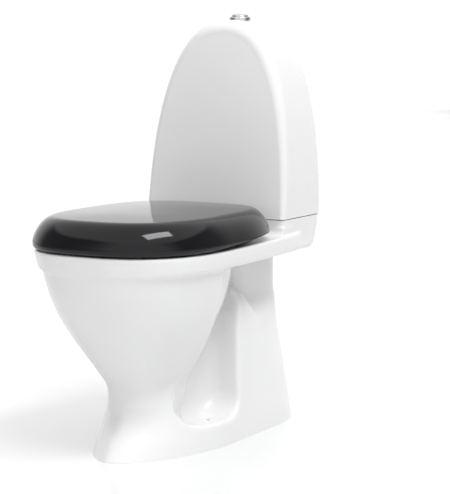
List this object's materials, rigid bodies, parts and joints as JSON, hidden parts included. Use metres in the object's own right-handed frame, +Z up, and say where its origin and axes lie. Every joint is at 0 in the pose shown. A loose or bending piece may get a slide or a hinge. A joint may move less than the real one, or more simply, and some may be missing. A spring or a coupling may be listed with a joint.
{
  "type": "close coupled toilet",
  "caption": "Floor-standing china toilet with a tall hood-shaped cistern on its deck, a hidden outlet in the foot, a dark hinged seat and lid, and a push button.",
  "frame": {"origin": "on the floor, under the middle of the whole object's width and depth", "axes": "+Z up, the bowl's front towards -Y, the cistern's back towards +Y, symmetric about X = 0 outside"},
  "size_m": [0.38, 0.654, 0.849],
  "materials": {
    "china": "glossy glaze",
    "black_seat": "high gloss",
    "chrome": "polished",
    "steel": "plain",
    "white_plastic": "satin",
    "tank_plastic": "satin",
    "grey_plastic": "satin",
    "blue_plastic": "satin",
    "rubber": "matte",
    "buffer_rubber": "matte"
  },
  "bodies": {
    "pan": {"pan": "china", "cistern_cover": "china", "cover_strip": "rubber", "inner_tank": "tank_plastic", "tank_gasket": "rubber", "tank_bolts": "steel", "tank_bolt_washers": "rubber", "tank_nuts": "steel", "flush_valve_body": "grey_plastic", "flush_valve_nut": "white_plastic", "lever_pin": "steel", "button_bezel": "chrome", "bezel_nut": "white_plastic", "rod_guide": "white_plastic", "fill_valve_body": "white_plastic", "fill_valve_gasket": "rubber", "fill_valve_nut": "white_plastic", "hinge_posts": "chrome", "hinge_pins": "steel", "hinge_bolts": "steel", "hinge_washers": "buffer_rubber", "hinge_nuts": "white_plastic"},
    "seat": {"seat_ring": "black_seat", "seat_buffers": "buffer_rubber"},
    "lid": {"lid": "black_seat", "lid_buffers": "buffer_rubber"},
    "full_flush_button": {"full_flush_button": "chrome", "full_push_rod": "white_plastic"},
    "half_flush_button": {"half_flush_button": "chrome", "half_push_rod": "white_plastic"},
    "lift_lever": {"lift_lever": "grey_plastic"},
    "flush_lift": {"overflow_tube": "blue_plastic", "valve_seal": "rubber", "lift_stem": "blue_plastic"},
    "float": {"float_arm": "blue_plastic", "float_cup": "white_plastic"}
  },
  "joints": [
    {"name": "seat_hinge", "type": "hinge", "parent": "pan", "child": "seat", "pos_m": [0, 0.118, 0.44], "axis": [-1, 0, 0], "range_deg": [0, 93]},
    {"name": "lid_hinge", "type": "hinge", "parent": "seat", "child": "lid", "pos_m": [0, 0.118, 0.44], "axis": [1, 0, 0], "range_deg": [-95, 0]},
    {"name": "full_flush_button", "type": "slide", "parent": "pan", "child": "full_flush_button", "axis": [0, 0, -1], "range_m": [0, 0.005], "stiffness_N_per_m": 400, "springref_m": -0.002},
    {"name": "half_flush_button", "type": "slide", "parent": "pan", "child": "half_flush_button", "axis": [0, 0, -1], "range_m": [0, 0.005], "stiffness_N_per_m": 400, "springref_m": -0.002},
    {"name": "lever_pivot", "type": "hinge", "parent": "pan", "child": "lift_lever", "pos_m": [0.006, 0.264, 0.704], "axis": [0, 1, 0], "range_deg": [0, 32]},
    {"name": "flush_lift", "type": "slide", "parent": "pan", "child": "flush_lift", "axis": [0, 0, 1], "range_m": [0, 0.007]},
    {"name": "float_pivot", "type": "hinge", "parent": "pan", "child": "float", "pos_m": [-0.088, 0.213, 0.616], "axis": [0, -1, 0], "range_deg": [0, 20]}
  ],
  "couplings": [
    {"joint": "lever_pivot", "follows": "full_flush_button", "rad_per_m": 111.1},
    {"joint": "flush_lift", "follows": "full_flush_button", "ratio": 1.333}
  ]
}
